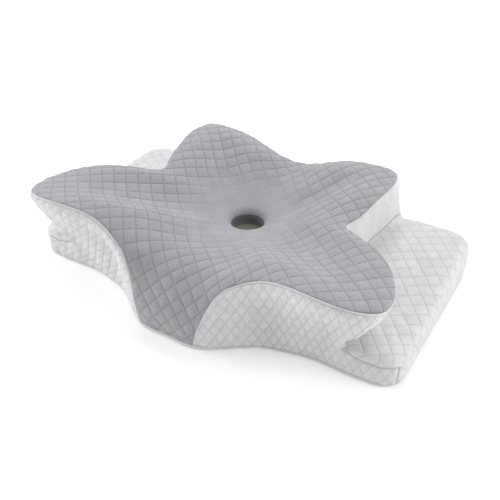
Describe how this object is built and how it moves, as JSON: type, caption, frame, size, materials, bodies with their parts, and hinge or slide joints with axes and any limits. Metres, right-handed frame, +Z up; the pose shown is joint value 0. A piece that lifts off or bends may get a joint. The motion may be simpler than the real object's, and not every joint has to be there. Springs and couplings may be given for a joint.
{
  "type": "contour neck pillow",
  "caption": "Star-shaped contour neck pillow: grey quilted crown with side wings and a head hollow on a white slab base, foam core in a removable zipped cover.",
  "frame": {"origin": "on the floor under the middle of the whole object's box", "axes": "+X along the length from wing to wing, +Y towards the zip at the rear, -Y towards the neck lobe, +Z up"},
  "size_m": [0.6, 0.3756, 0.1422],
  "materials": {
    "grey_knit": "quilted jacquard knit, matt, mid grey",
    "white_knit": "quilted jacquard knit, matt, off-white",
    "olive_patch": "plain knit, matt, olive",
    "liner_jersey": "thin plain jersey, matt",
    "foam": "open-cell memory foam, matt",
    "white_piping": "folded knit edge, matt",
    "zip_tape": "woven tape, matt",
    "zip_nylon": "nylon coil, satin",
    "zip_zinc": "die-cast zinc, satin plated",
    "label_satin": "blank woven satin"
  },
  "bodies": {
    "pillow": {"foam_core": "foam", "inner_liner": "liner_jersey", "crown_panel": "grey_knit", "well_sleeve": "grey_knit", "well_floor_patch": "olive_patch", "front_panel_right": "white_knit", "side_panel_right": "white_knit", "shelf_panel_right": "white_knit", "front_panel_left": "white_knit", "side_panel_left": "white_knit", "shelf_panel_left": "white_knit", "rear_panel": "white_knit", "bottom_panel": "white_knit", "crown_piping": "white_piping", "zip_tape_lower": "zip_tape", "zip_tape_upper": "zip_tape", "zip_coil_lower": "zip_nylon", "zip_coil_upper": "zip_nylon", "zip_stop_right": "zip_zinc", "zip_stop_left": "zip_zinc", "care_label": "label_satin"},
    "slider": {"zip_slider": "zip_zinc"},
    "pull_tab": {"zip_pull_tab": "zip_zinc"}
  },
  "joints": [
    {"name": "zip_slide", "type": "slide", "parent": "pillow", "child": "slider", "axis": [1, 0, 0], "range_m": [-0.416, 0]},
    {"name": "pull_tab_hinge", "type": "hinge", "parent": "slider", "child": "pull_tab", "pos_m": [0.208, 0.18595, 0.019], "axis": [0, 0, -1], "range_deg": [0, 180]}
  ]
}
